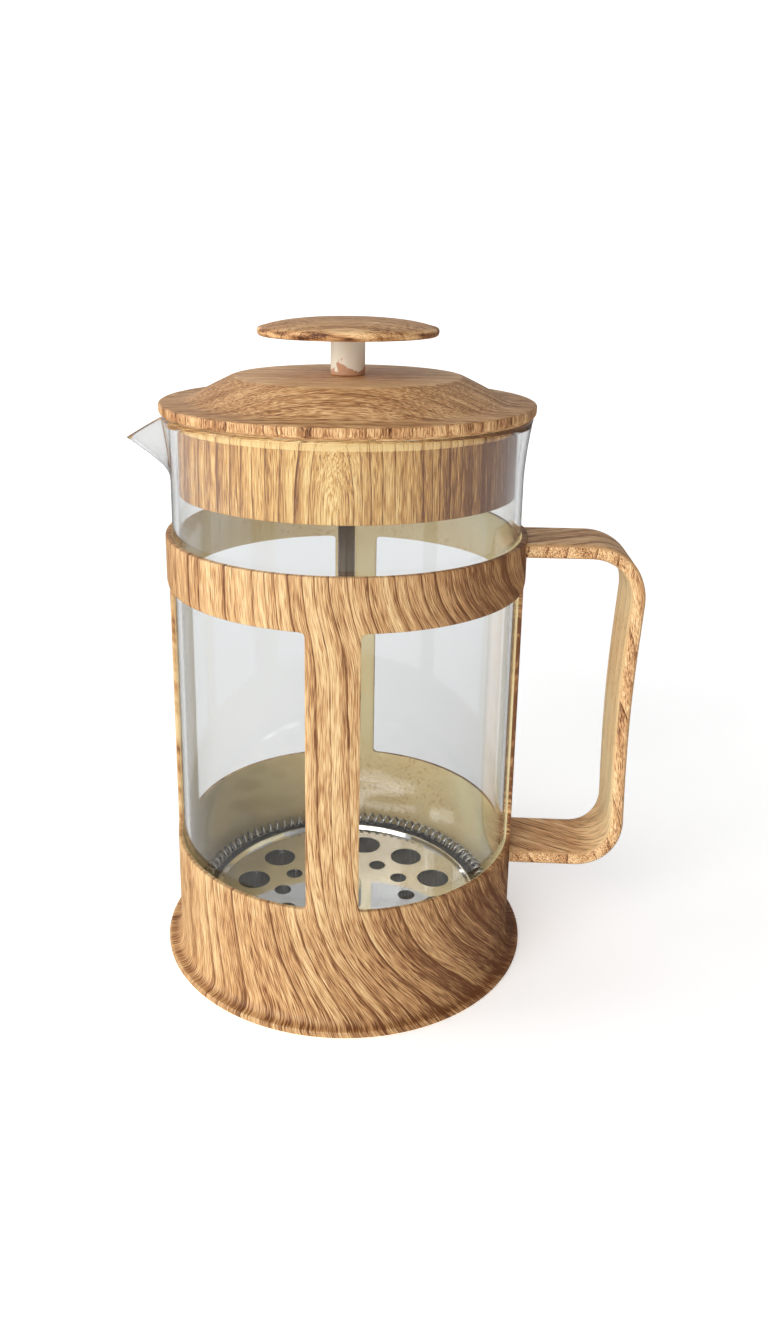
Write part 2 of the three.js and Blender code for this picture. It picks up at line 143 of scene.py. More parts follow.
# %% A socket that can be added and multiplied
class Wire:
    """An output socket, or a bare tree, that builds the nodes of a sum."""

    def __init__(self, tree, socket=None):
        self.tree = tree
        self.socket = socket

    def node(self, kind, sockets=None, out=0, **settings):
        made = self.tree.nodes.new(kind)
        adjust(made, **settings)
        for key, value in (sockets or {}).items():
            if isinstance(value, Wire):
                self.tree.links.new(value.socket, made.inputs[key])
            else:
                made.inputs[key].default_value = value
        return Wire(self.tree, made.outputs[out]) if made.outputs else None

    def maths(self, operation, *terms, clamp=False):
        terms = dict(enumerate((self, *terms)))
        return self.node("ShaderNodeMath", terms, operation=operation, use_clamp=clamp)

    __add__ = __radd__ = partialmethod(maths, "ADD")
    __mul__ = __rmul__ = partialmethod(maths, "MULTIPLY")
    __sub__ = partialmethod(maths, "SUBTRACT")
    __truediv__ = partialmethod(maths, "DIVIDE")
    __pow__ = partialmethod(maths, "POWER")

    def __rsub__(self, other):
        return self.node("ShaderNodeMath", {0: other, 1: self}, operation="SUBTRACT")

    def clamp(self):
        return self.maths("ADD", 0.0, clamp=True)

    def vector(self, operation, *terms, out=0):
        terms = dict(enumerate((self, *terms)))
        return self.node("ShaderNodeVectorMath", terms, out, operation=operation)

    def part(self, axis):
        """One component of this vector."""
        return self.node("ShaderNodeSeparateXYZ", {0: self}, axis)

    def join(self, *parts):
        """A vector from its components."""
        return self.node("ShaderNodeCombineXYZ", dict(enumerate(parts)))

    def place(self):
        """Where the shaded point lies on its own object, in metres."""
        return self.node("ShaderNodeTexCoord", out="Object")

    def ray(self, question):
        """The answer to a question about the light ray that got here."""
        return self.node("ShaderNodeLightPath", out=question)

    def mix(self, start, end):
        """The colour that is start where this is 0 and end where it is 1."""
        return self.node("ShaderNodeMix", {0: self, 6: start, 7: end}, 2, data_type="RGBA")

    def between(self, low, high):
        """0 below low, 1 above high, and smooth between them."""
        terms = {"Value": self, 1: low, 2: high}
        return self.node("ShaderNodeMapRange", terms, interpolation_type="SMOOTHSTEP")

    def noise(self, across, along=None, detail=2.0, roughness=0.5):
        """Noise on this vector, with across and along cells to the unit."""
        cells = (across, across, across if along is None else along)
        sockets = {"Scale": 1.0, "Detail": detail, "Roughness": roughness}
        sockets["Vector"] = self.vector("MULTIPLY", cells)
        return self.node("ShaderNodeTexNoise", sockets)


def srgb(*levels):
    """A colour given in 0 to 255 display levels, as the linear values that nodes use."""
    shares = [level / 255 for level in levels]
    return (*[s / 12.92 if s <= 0.04045 else ((s + 0.055) / 1.055) ** 2.4 for s in shares], 1.0)


def fresh(name):
    """A material with an empty tree, and the Wire that starts its formula."""
    material = bpy.data.materials.new(name)
    material.use_nodes = True
    material.node_tree.nodes.clear()
    return material, Wire(material.node_tree)


def surface(tree, **sockets):
    """Ends a formula in a Principled surface."""
    named = {key.replace("_", " "): value for key, value in sockets.items()}
    shader = tree.node("ShaderNodeBsdfPrincipled", named)
    tree.node("ShaderNodeOutputMaterial", {"Surface": shader})


# %% [markdown]
# ## Floor and light
# A large flat floor with a bright surround reads as a plain studio sweep. The floor glows a
# little, more so far away, so that its shade runs into the surround without an edge. It hides
# that brightness from mirror reflections, or polished steel would mirror white all round and lose
# its shape. Rays that come through the glass still see the white floor.
# The surround fills the shadows, a little less from the handle's side. The main lamp is a sun
# with a wide disc, because its light doesn't fall off and the floor stays even. A soft box on the
# left adds the tall highlight that a window would.

# %% Floor and surround
FLOOR_HALF = 6
FLOOR_NEAR, FLOOR_FAR = 0.15, 1.0
GLOW_NEAR = (0.4, 0.4, 0.4, 1)
GLOW_FAR = (0.6, 0.6, 0.6, 1)
BLACK = (0, 0, 0, 1)
floor_mesh = bpy.data.meshes.new("floor")
corners = [(x * FLOOR_HALF, y * FLOOR_HALF, 0) for x, y in ((-1, -1), (1, -1), (1, 1), (-1, 1))]
floor_mesh.from_pydata(corners, [], [(0, 1, 2, 3)])
floor = link("floor", floor_mesh)
paper, tree = fresh("floor_paper")
reach = tree.place().vector("MULTIPLY", (1.0, 1.0, 0.0)).vector("LENGTH", out="Value")
glow = reach.between(FLOOR_NEAR, FLOOR_FAR).mix(GLOW_NEAR, GLOW_FAR)
mirrored = (tree.ray("Is Glossy Ray") - tree.ray("Is Transmission Ray")).clamp()
surface(
    tree,
    Base_Color=mirrored.mix(srgb(248, 248, 248), srgb(90, 90, 90)),
    Roughness=0.9,
    Emission_Color=mirrored.mix(glow, BLACK),
    Emission_Strength=1.0,
)
floor_mesh.materials.append(paper)

SURROUND = 1.04
FILL_LOSS, FILL_LOSS_RIGHT = 0.62, 0.2
MIRROR_LOSS, MIRROR_LOSS_RIGHT = 0.54, 0.26
world = bpy.data.worlds.new("studio")
bpy.context.scene.world = world
world.use_nodes = True
world.node_tree.nodes.clear()
sky = Wire(world.node_tree)
side = sky.node("ShaderNodeTexCoord", out="Generated").part("X")
fill_loss = sky.ray("Is Diffuse Ray") * (side * FILL_LOSS_RIGHT + FILL_LOSS)
mirror_loss = sky.ray("Is Glossy Ray") * (side * MIRROR_LOSS_RIGHT + MIRROR_LOSS)
strength = SURROUND - fill_loss - mirror_loss
backdrop = sky.node("ShaderNodeBackground", {"Color": (1, 1, 1, 1), "Strength": strength})
sky.node("ShaderNodeOutputWorld", {"Surface": backdrop})
bpy.context.scene.view_settings.view_transform = "Standard"

# %% Lamps
AIM = Vector((0, 0, 80))


def lamp(kind, name, power, at, **settings):
    """A lamp at a place in millimetres, turned towards the middle of the press."""
    light = bpy.data.lights.new(name, kind)
    adjust(light, energy=power, **settings)
    turn = (AIM - Vector(at)).to_track_quat("-Z", "Y").to_matrix().to_4x4()
    link(name, light).matrix_world = Matrix.Translation(Vector(at) * MM) @ turn


lamp("SUN", "key", power=1.9, at=(-560, -1000, 500), angle=radians(45))
lamp("AREA", "softbox", power=1.8, at=(-650, -110, 330), shape="RECTANGLE", size=0.3, size_y=0.6)

# %% [markdown]
# ## Turning and finishing a piece
# Most of a press is turned: a profile of radius and height points goes round the axis. `soften`
# rounds the corners of such a profile first, because a real edge is never sharp and a rounded one
# catches the light. `finish` gives the piece its finish and shading, puts it on the body it rides
# on, and hides the CAD nodes it stands for.

# %% Profiles and lathes
def soften(corners, steps=4):
    """A profile of (radius, height, rounding) corners with each corner rounded off."""
    smooth = []
    for i, (r, z, rounding) in enumerate(corners):
        here = Vector((r, z))
        if rounding == 0 or i in (0, len(corners) - 1):
            smooth.append((r, z))
            continue
        back = Vector(corners[i - 1][:2]) - here
        ahead = Vector(corners[i + 1][:2]) - here
        reach = min(rounding, 0.48 * back.length, 0.48 * ahead.length)
        start = here + back.normalized() * reach
        end = here + ahead.normalized() * reach
        for step in range(steps + 1):
            share = step / steps
            point = start * (1 - share) ** 2 + here * (2 * share * (1 - share)) + end * share**2
            smooth.append((point.x, point.y))
    return smooth


def washer(inner, outer, low, high, rounding=0):
    """The profile of a flat ring, with its two outer corners rounded."""
    return soften([
        (inner, low, 0), (outer, low, rounding), (outer, high, rounding), (inner, high, 0)
    ])


def arc(r, z, radius, start, end, steps):
    """Profile points on an arc between two angles in degrees."""
    angles = [radians(start + (end - start) * i / steps) for i in range(steps + 1)]
    return [(r + radius * cos(angle), z + radius * sin(angle)) for angle in angles]


def lathe(profile, steps, ring=False):
    """Vertices and faces of a profile turned about Z. A ring's profile closes on itself."""
    vertices = []
    rows = []
    turns = [2 * pi * i / steps for i in range(steps)]
    for r, z in profile:
        if r < 1e-6:
            rows.append([len(vertices)] * steps)
            vertices.append((0.0, 0.0, z))
            continue
        rows.append([len(vertices) + i for i in range(steps)])
        vertices += [(r * cos(turn), r * sin(turn), z) for turn in turns]
    if ring:
        rows.append(rows[0])
    faces = []
    for low, high in zip(rows, rows[1:]):
        for i in range(steps):
            j = (i + 1) % steps
            corners = list(dict.fromkeys([low[i], low[j], high[j], high[i]]))
            if len(corners) > 2:
                faces.append(corners)
    return vertices, faces


# %% Making and finishing pieces
def block(name, vertices, faces):
    """An object from vertices in millimetres, merged, with its faces pointing out."""
    mesh = bpy.data.meshes.new(name)
    mesh.from_pydata([Vector(vertex) * MM for vertex in vertices], [], faces)
    shape = bmesh.new()
    shape.from_mesh(mesh)
    bmesh.ops.remove_doubles(shape, verts=shape.verts, dist=1e-6)
    bmesh.ops.recalc_face_normals(shape, faces=shape.faces)
    shape.to_mesh(mesh)
    shape.free()
    return link(name, mesh)


def turned(name, profile, steps=144, ring=True):
    """A piece turned from a profile."""
    return block(name, *lathe(profile, steps, ring))


def settle(piece):
    """Turns a piece's modifiers into plain mesh."""
    graph = bpy.context.evaluated_depsgraph_get()
    mesh = bpy.data.meshes.new_from_object(piece.evaluated_get(graph))
    piece.modifiers.clear()
    mesh.name = piece.name
    old = piece.data
    piece.data = mesh
    bpy.data.meshes.remove(old)


def ease(piece, width, angle=50):
    """Rounds a piece's sharp edges."""
    bevel = piece.modifiers.new("ease", "BEVEL")
    adjust(bevel, width=width * MM, segments=2, use_clamp_overlap=True)
    adjust(bevel, limit_method="ANGLE", angle_limit=radians(angle))
    settle(piece)


def finish(piece, body, material, nodes, crease=38, flat=False):
    """Shades a piece, puts it on its body, hides its CAD nodes. flat keeps its big faces flat."""
    mesh = piece.data
    mesh.materials.clear()
    mesh.materials.append(material)
    mesh.shade_smooth()
    mesh.set_sharp_from_angle(angle=radians(crease))
    if flat:
        adjust(piece.modifiers.new("weigh", "WEIGHTED_NORMAL"), weight=100, keep_sharp=True)
        settle(piece)
    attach(piece, body)
    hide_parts(*nodes)
    print(f"{piece.name}: {len(piece.data.polygons)} faces on {body}")


# %% [markdown]
# ## The wood print
# The plastic is coloured by a film that carries a wood pattern, laid on in water. It wraps round
# corners and stretches on curved walls, so the streaks bend. Painting it in Object coordinates
# would give straight planks. Instead each printed piece stores, at each of its points, where that
# point lies in the wood, in a `grain` attribute: two components across the grain and one along it.
# The material then only has to draw straight-grained wood, and the attribute bends it.
# A second attribute, `print`, is 0 where the film never reached and the bare cream plastic shows.
# A third, `tone`, makes the print lighter or darker: in random patches where the film stretched or
# bunched, and as painted light and shade, paler where light falls and darker in creases and on
# sides turned away from the lamp.

# %% Storing the grain on a piece
def points_of(piece):
    """A piece's points, in millimetres."""
    return [vertex.co / MM for vertex in piece.data.vertices]


def lay_print(piece, places, amounts, tones_and_painted_light):
    """Writes each point's place in the wood, its print, and its tone with painted light and shade.
    """
    layers = (
        ("grain", "FLOAT_VECTOR", "vector", [part for place in places for part in place]),
        ("print", "FLOAT", "value", amounts),
        ("tone", "FLOAT", "value", tones_and_painted_light),
    )
    for name, kind, field, values in layers:
        piece.data.attributes.new(name, kind, "POINT").data.foreach_set(field, values)


def print_by(piece, *rules):
    """Lays the print by three rules: a point's place, amount, and tone with painted light and
    shade.
    """
    spots = points_of(piece)
    lay_print(piece, *[[rule(spot) for spot in spots] for rule in rules])


def ramp(value, low, high):
    """0 at low, 1 at high, straight between them and level beyond."""
    return min(1.0, max(0.0, (value - low) / (high - low)))


# %% [markdown]
# Real wood shows four scales at once: growth lines a few millimetres apart with a crisp dark side,
# soft tone drifts, fibres a quarter of a millimetre wide, and short dark pores. Each is one noise
# on the grain coordinates, stretched along the grain by its own amount.
# Growth lines come from a hill that climbs steadily across the grain, with slow noise added. The
# fraction of its height is a saw tooth, and a high power of that keeps only the tooth's dark end.
# The same noise everywhere would look printed by a machine, so each finish starts at its own seed.

# %% The printed material
GROWTH_CLIMB = (0.18, 0.05, 0.0)
GROWTH_SWAY = 4.0
LINE_POWER = 13.0
STREAK_DRIFT, STREAK_WIGGLE = 6.0, 1.1
TONE_SHARE, FIBRE_SHARE, FINE_SHARE, PORE_SHARE = 0.9, 1.7, 1.9, 0.2
BARE_LIGHT = srgb(255, 238, 186)
BARE_DARK = srgb(252, 220, 160)


def wood_print(name, light, middle, dark, seed, growth=0.7):
    material, tree = fresh(name)

    def stored(label, out="Fac"):
        return tree.node("ShaderNodeAttribute", out=out, attribute_name=label)

    wood = stored("grain", "Vector").vector("ADD", (seed, seed, seed))
    sideways = (wood.noise(0.05, 0.006) - 0.5) * STREAK_DRIFT
    sideways = sideways + (wood.noise(0.4, 0.05, detail=1.0) - 0.5) * STREAK_WIGGLE
    bent = wood.vector("ADD", tree.join(sideways, sideways * -0.6))

    climb = bent.vector("DOT_PRODUCT", GROWTH_CLIMB, out="Value")
    hill = climb + bent.noise(0.05, 0.0016, detail=1.0) * GROWTH_SWAY
    tooth = hill.maths("FRACT")
    line = tooth**LINE_POWER + tooth * 0.2
    drift = bent.noise(0.3, 0.012, detail=1.0)
    fibre = bent.noise(4.0, 0.15, roughness=0.6)
    fine = bent.noise(5.2, 0.2, detail=1.0)
    pores = fine.between(0.6, 0.72)

    # The stored tone adds print tone, and painted light and shade, to the grain's brightness.
    shade = stored("tone") + 0.6 + (drift - 0.5) * TONE_SHARE
    shade = shade + (fibre - 0.5) * FIBRE_SHARE + (fine - 0.5) * FINE_SHARE
    shade = shade - line * growth - pores * PORE_SHARE
    warm = (shade * 2.0).clamp().mix(dark, middle)
    grain = (shade * 2.0 - 1.0).clamp().mix(warm, light)

    spot = tree.place()
    cloud = spot.noise(28.0)
    cream = cloud.between(0.35, 0.7).mix(BARE_LIGHT, BARE_DARK)
    speck = spot.noise(900.0, detail=0.0).between(0.62, 0.7)
    plain = (speck * cloud.between(0.5, 0.62) * 0.5).mix(cream, middle)

    printed = stored("print")
    rough = printed * (0.52 - shade * 0.12) + (1.0 - printed) * 0.42
    relief = {"Strength": 0.35, "Distance": 0.00012, "Height": shade * printed}
    surface(
        tree,
        Base_Color=printed.mix(plain, grain),
        Roughness=rough.clamp(),
        Normal=tree.node("ShaderNodeBump", relief),
        Specular_IOR_Level=0.3,
    )
    return material


cage_print = wood_print(
    "cage_print", srgb(234, 204, 152), srgb(198, 150, 99), srgb(114, 70, 39), seed=3.0
)
skirt_print = wood_print(
    "skirt_print", srgb(250, 218, 152), srgb(214, 160, 90), srgb(118, 68, 30), seed=22.0
)
lid_print = wood_print(
    "lid_print", srgb(240, 200, 146), srgb(184, 130, 80), srgb(84, 46, 24), seed=75.0, growth=0.4
)
handle_print = wood_print(
    "handle_print", srgb(252, 220, 168), srgb(212, 160, 108), srgb(112, 66, 36), 140.0, growth=0.6
)
print("wood prints:", cage_print.name, skirt_print.name, lid_print.name, handle_print.name)

# %% [markdown]
# ## The cage
# One moulding makes the foot flange, the floor, the low band, four ribs and the upper ring. It
# could be a tube with four windows cut out by booleans, but those leave long thin triangles that
# bevel and shade badly. A grid in angle and height, with the windows left out of it, gives even
# quads. Its columns follow the rib edges, and swing out near each window corner to round it.

# %% Grid of the cage
CAGE_WALL = 1.4
CAGE_FLOOR = 2.2
FOOT_RIM = 1.8
FOOT_FILLET = 5.0
WINDOW_CORNER = 1.3
RIB_COLUMNS = 10
WINDOW_COLUMNS = 36
BAND_ROWS, WINDOW_ROWS, RING_ROWS = 14, 30, 8
cage_inner = CAGE_R - CAGE_WALL
rib_half = atan2(rib_high[0], sqrt(CAGE_R**2 - rib_high[0] ** 2))
neck_r = FOOT_R - 0.5


def column_angle(column, z):
    """The angle of a grid column at a height, with the window's corners rounded."""
    quarter, place = column
    edge = rib_half
    depth = min(z - BAND_TOP, RING_Z - z)
    if depth < WINDOW_CORNER:
        left = WINDOW_CORNER - max(depth, 0.0)
        edge += (WINDOW_CORNER - sqrt(WINDOW_CORNER**2 - left**2)) / CAGE_R
    if place <= 1:
        return quarter * pi / 2 + place * edge
    return quarter * pi / 2 + edge + (place - 1) * (pi / 2 - 2 * edge)


columns = []
for quarter in range(4):
    columns += [(quarter, -1 + 2 * i / RIB_COLUMNS) for i in range(RIB_COLUMNS + 1)]
    columns += [(quarter, 1 + i / WINDOW_COLUMNS) for i in range(1, WINDOW_COLUMNS)]

corner_cuts = [WINDOW_CORNER * (1 - sin(radians(angle))) for angle in (60, 30, 0)]
tall = RING_Z - BAND_TOP - 2 * WINDOW_CORNER
straight = [BAND_TOP + WINDOW_CORNER + tall * i / WINDOW_ROWS for i in range(1, WINDOW_ROWS)]
window_levels = [BAND_TOP] + [BAND_TOP + cut for cut in corner_cuts] + straight
window_levels += [RING_Z - cut for cut in reversed(corner_cuts)] + [RING_Z]
fillet = [
    (neck_r - (neck_r - CAGE_R) * sin(turn) ** 0.7, FOOT_RIM + FOOT_FILLET * (1 - cos(turn)) ** 1.3)
    for turn in (radians(step) for step in range(0, 91, 10))
]
band_tall = BAND_TOP - FOOT_RIM - FOOT_FILLET
band_levels = [FOOT_RIM + FOOT_FILLET + band_tall * i / BAND_ROWS for i in range(1, BAND_ROWS)]
ring_levels = [RING_Z + (RING_TOP - RING_Z) * i / RING_ROWS for i in range(1, RING_ROWS + 1)]

outer = [(FOOT_R * share, 0.0) for share in (0.25, 0.5, 0.75, 0.93)]
outer += [(FOOT_R - 0.4, 0.0), (FOOT_R, 0.5), (FOOT_R, FOOT_RIM - 0.5)] + fillet
outer += [(CAGE_R, z) for z in band_levels]
outer_window = len(outer)
outer += [(CAGE_R, z) for z in window_levels]
outer += [(CAGE_R + 0.2, RING_Z + 0.7)] + [(RING_R, z) for z in ring_levels]
inner = [(cage_inner * share, CAGE_FLOOR) for share in (0.3, 0.6, 0.85, 1)]
inner += [(cage_inner, z) for z in band_levels]
inner_window = len(inner)
inner += [(cage_inner, z) for z in window_levels + ring_levels]
window_rows = len(window_levels) - 1
print("cage grid:", len(columns), "columns,", len(outer) + len(inner), "rows")

# %% Faces of the cage
cage_points = []
cage_faces = []
in_window = [place >= 1 for _, place in columns]
beside = [(i + 1) % len(columns) for i in range(len(columns))]


def lay_row(r, z):
    """Adds a row of the grid's points, and returns their numbers."""
    start = len(cage_points)
    angles = [column_angle(column, z) for column in columns]
    cage_points.extend((r * cos(angle), r * sin(angle), z) for angle in angles)
    return list(range(start, len(cage_points)))


def skin(rows, window):
    """Adds quads between rows, without those in a window."""
    for level in range(len(rows) - 1):
        for i, j in enumerate(beside):
            if not (window <= level < window + window_rows and in_window[i]):
                low, high = rows[level], rows[level + 1]
                cage_faces.append((low[i], low[j], high[j], high[i]))


outer_rows = [lay_row(r, z) for r, z in outer]
inner_rows = [lay_row(r, z) for r, z in inner]
skin(outer_rows, outer_window)
skin(inner_rows, inner_window)
for i, j in enumerate(beside):
    out_row, in_row = outer_rows[-1], inner_rows[-1]
    cage_faces.append((out_row[i], out_row[j], in_row[j], in_row[i]))
    if in_window[i]:
        for level in (0, window_rows):
            out_row, in_row = outer_rows[outer_window + level], inner_rows[inner_window + level]
            cage_faces.append((out_row[i], out_row[j], in_row[j], in_row[i]))
    if in_window[i] != in_window[i - 1]:
        for level in range(window_rows):
            low, high = outer_window + level, inner_window + level
            jamb = (outer_rows[low], outer_rows[low + 1], inner_rows[high + 1], inner_rows[high])
            cage_faces.append(tuple(row[i] for row in jamb))
for rows, height in ((outer_rows, 0.0), (inner_rows, CAGE_FLOOR)):
    hub = len(cage_points)
    cage_points.append((0.0, 0.0, height))
    cage_faces += [(rows[0][i], rows[0][j], hub) for i, j in enumerate(beside)]

cage = block("cage_moulding", cage_points, cage_faces)
ease(cage, 0.32)

# %% [markdown]
# The film was laid on from the spout side, so its streaks stand upright there, lean over at the
# front and sweep right down towards the handle. Two S-shaped shears do this, one across the upper
# ring and one across the low band, each stronger towards the handle. Painted shade darkens the
# print towards the handle, on the upper ring's sides and in the gutter above the foot, and the
# low band is darker towards its bottom.

# %% Print on the cage
RING_SHEAR = (118, 9, 1.7, 2.5)
BAND_SHEAR = (15, 22, 1.0, 1.0)


def cage_flow(point):
    x, y, z = point
    angle = atan2(y, x)
    side = (1 + cos(angle)) / 2
    sweep = 0
    for middle, reach, strength, gather in (RING_SHEAR, BAND_SHEAR):
        sweep += strength * side**gather * reach * tanh((z - middle) / reach)
    turn = angle + sweep / CAGE_R
    return CAGE_R * cos(turn), CAGE_R * sin(turn), z + CAGE_R - hypot(x, y)


def cage_printed(point):
    """The outside, and a little overspray inside on the spout's side."""
    x, y, z = point
    if z < 0.2:
        return 0.0
    overspray = 0.3 * ramp(-x / CAGE_R, 0.1, 0.9) * ramp(z, 20, 130)
    return max(overspray, ramp(hypot(x, y), cage_inner + 0.05, cage_inner + 0.3))


def cage_tone_and_painted_shade(point):
    x, y, z = point
    r = hypot(x, y)
    gutter = ramp(r, CAGE_R + 0.3, CAGE_R + 1.6) * ramp(FOOT_R - r, 0.6, 1.8)
    handle_side = ramp(cos(atan2(y, x)), 0.0, 0.8)
    low_band = ramp(z, 40, 30)
    ring_side = ramp(z, 106, 110) * ramp(-y / CAGE_R, 0.95, 0.7)
    # Painted shade in the gutter, on the handle's side and on the ring's sides; the low band is
    # darker towards its bottom.
    return 0.11 - 0.15 * low_band - 0.14 * ring_side - 0.2 * gutter - 0.37 * handle_side


print_by(cage, cage_flow, cage_printed, cage_tone_and_painted_shade)
cage_nodes = ["base_cup", "rib_right", "rib_back", "rib_left", "rib_front", "upper_ring"]
finish(cage, "cage", cage_print, cage_nodes)

# %% [markdown]
# ## The handle
# The handle is a flat strap, moulded on to the ring and the band, that follows one smooth line:
# out, round the upper corner, down with a slight waist, and back in. A strip that follows a path
# is what Geometry Nodes do best: a rounded rectangle is carried along the curve, and the tree keeps
# how far along, across and through the strap each point lies, which the print needs later.

# %% A helper for Geometry Nodes
bare_plastic, tree = fresh("bare_plastic")
mottle = tree.place().noise(40.0)
surface(tree, Base_Color=mottle.mix(srgb(240, 222, 172), srgb(214, 190, 134)), Roughness=0.42)


def grow(name, build, values, base=None):
    """Runs a tree and keeps the result as plain mesh. build(tree, inputs) returns geometry."""
    group = bpy.data.node_groups.new(name, "GeometryNodeTree")
    add = group.interface.new_socket
    add("Geometry", in_out="INPUT", socket_type="NodeSocketGeometry")
    kinds = {float: "NodeSocketFloat", int: "NodeSocketInt"}
    keys = {}
    for label, value in values.items():
        keys[label] = add(label, in_out="INPUT", socket_type=kinds[type(value)]).identifier
    add("Geometry", in_out="OUTPUT", socket_type="NodeSocketGeometry")
    tree = Wire(group)
    source = tree.node("NodeGroupInput").socket.node
    inputs = {socket.name: Wire(group, socket) for socket in source.outputs if socket.name}
    shape = build(tree, inputs)
    plain = tree.node("GeometryNodeRealizeInstances", {"Geometry": shape})
    painted = {"Geometry": plain, "Material": bare_plastic}
    tree.node("NodeGroupOutput", {"Geometry": tree.node("GeometryNodeSetMaterial", painted)})
    if base is None:
        base = link(name, bpy.data.meshes.new(name))
    modifier = base.modifiers.new(name, "NODES")
    modifier.node_group = group
    for label, value in values.items():
        modifier[keys[label]] = value
    if base.type == "MESH":
        settle(base)
        return base
    graph = bpy.context.evaluated_depsgraph_get()
    mesh = bpy.data.meshes.new_from_object(base.evaluated_get(graph))
    base.modifiers.clear()
    bpy.data.objects.remove(base)
    return link(name, mesh)


def oblong(width, height):
    """A rectangular outline."""
    sides = {"Width": width, "Height": height}
    return width.node("GeometryNodeCurvePrimitiveQuadrilateral", sides, mode="RECTANGLE")


def sweep(path, outline, caps=True):
    """The solid that an outline leaves as it follows a path."""
    sockets = {"Curve": path, "Profile Curve": outline, "Fill Caps": caps}
    return path.node("GeometryNodeCurveToMesh", sockets)


# %% The handle's line
grip_low, grip_high = span("handle")
HANDLE_WIDTH = grip_high[1] - grip_low[1]
HANDLE_THICK = 4.1
HANDLE_REACH = 31.2
HANDLE_WAIST = 2.2
HANDLE_CORNER = 12.0
HANDLE_EDGE = 1.2
HANDLE_SUNK = 0.5
ARM_STEPS = 12
upper_z = grip_high[2] - HANDLE_THICK / 2
lower_z = grip_low[2] + HANDLE_THICK / 2
reach_x = RING_R + HANDLE_REACH
root_x = cage_inner + HANDLE_SUNK


def bezier(p0, p1, p2, p3, steps):
    """Points on a cubic curve, without its first."""
    points = []
    for i in range(1, steps + 1):
        t = i / steps
        weights = ((1 - t) ** 3, 3 * t * (1 - t) ** 2, 3 * t * t * (1 - t), t**3)
        pulls = list(zip(weights, (p0, p1, p2, p3)))
        points.append(tuple(sum(w * p[k] for w, p in pulls) for k in (0, 1)))
    return points


def inward(corners, z, waists=0.0):
    """A point so many corner sizes and waist depths in from the handle's outermost line."""
    return reach_x - corners * HANDLE_CORNER - waists * HANDLE_WAIST, z


top_turn = inward(1.15, upper_z)
top_end = inward(0.02, upper_z - 1.3 * HANDLE_CORNER)
waist_end = inward(0, lower_z + 1.1 * HANDLE_CORNER, 0.55)
foot_end = inward(1.1, lower_z)
grip_start = inward(0, upper_z - 2.9 * HANDLE_CORNER, 0.6)
grip_middle = inward(0, (upper_z + lower_z) / 2, 1.1)
shoulder = (inward(0.4, upper_z), inward(-0.04, upper_z - 0.62 * HANDLE_CORNER))
heel = (inward(0, lower_z + 0.5 * HANDLE_CORNER, 0.4), inward(0.45, lower_z))
arm = [i / ARM_STEPS for i in range(ARM_STEPS + 1)]
handle_line = [(root_x + (top_turn[0] - root_x) * share, upper_z) for share in arm]
handle_line += bezier(top_turn, *shoulder, top_end, steps=22)
handle_line += bezier(top_end, grip_start, grip_middle, waist_end, steps=30)
handle_line += bezier(waist_end, *heel, foot_end, steps=20)
handle_line += [(foot_end[0] + (root_x - foot_end[0]) * share, lower_z) for share in arm[1:]]
strap_length = sum(hypot(b[0] - a[0], b[1] - a[1]) for a, b in zip(handle_line, handle_line[1:]))
print(f"handle: {len(handle_line)} points, {strap_length:.1f} mm along")

# %% Sweep the strap
def strap_tree(tree, size):
    outline = oblong(size["Width"], size["Thickness"])
    turns = {"Curve": outline, "Radius": size["Edge"], "Count": 4}
    rounded = tree.node("GeometryNodeFilletCurve", turns, mode="POLY")
    dense = tree.node("GeometryNodeResampleCurve", {"Curve": rounded, "Count": 64})
    spot = tree.node("GeometryNodeInputPosition")

    def keep(geometry, label, value):
        sockets = {"Geometry": geometry, "Name": label, "Value": value}
        kind = "GeometryNodeStoreNamedAttribute"
        return tree.node(kind, sockets, data_type="FLOAT", domain="POINT")

    section = keep(keep(dense, "across", spot.part("X")), "through", spot.part("Y"))
    length = tree.node("GeometryNodeSplineParameter", out="Length")
    return sweep(keep(size["Geometry"], "along", length), section)


curve = bpy.data.curves.new("handle_line", "CURVE")
curve.dimensions = "3D"
spline = curve.splines.new("POLY")
spline.points.add(len(handle_line) - 1)
for spot, (x, z) in zip(spline.points, handle_line):
    spot.co = (*(Vector((x, 0.0, z)) * MM), 1)
sizes = {"Width": HANDLE_WIDTH * MM, "Thickness": HANDLE_THICK * MM, "Edge": HANDLE_EDGE * MM}
handle = grow("handle_strap", strap_tree, sizes, base=link("handle_line", curve))

# %% [markdown]
# On the arms and the lower corner the streaks cross the strap at a slant, and on the grip they run
# down it. The strap's narrow edges cut through the wood, so they read their grain from where they
# stand, in a part of the wood of their own. The inner face took less of the print than the outer
# one, so more of the cream shows through.

# %% Print on the handle
GRIP_START = 38.0
GRIP_END = 100.0
ARM_LEAN = 0.55
GRIP_STRAIGHTENING = 0.5
EDGE_WOOD = 200.0
INSIDE_LOSS = 0.55


def kept(label):
    """A named attribute's values along the handle, in millimetres."""
    return [item.value / MM for item in handle.data.attributes[label].data]


def strap_lean(along):
    """How much the streaks lean across the strap, summed up to this length."""
    lean = ARM_LEAN * along
    if along > GRIP_START:
        lean -= GRIP_STRAIGHTENING * (min(along, GRIP_END) - GRIP_START)
    return lean


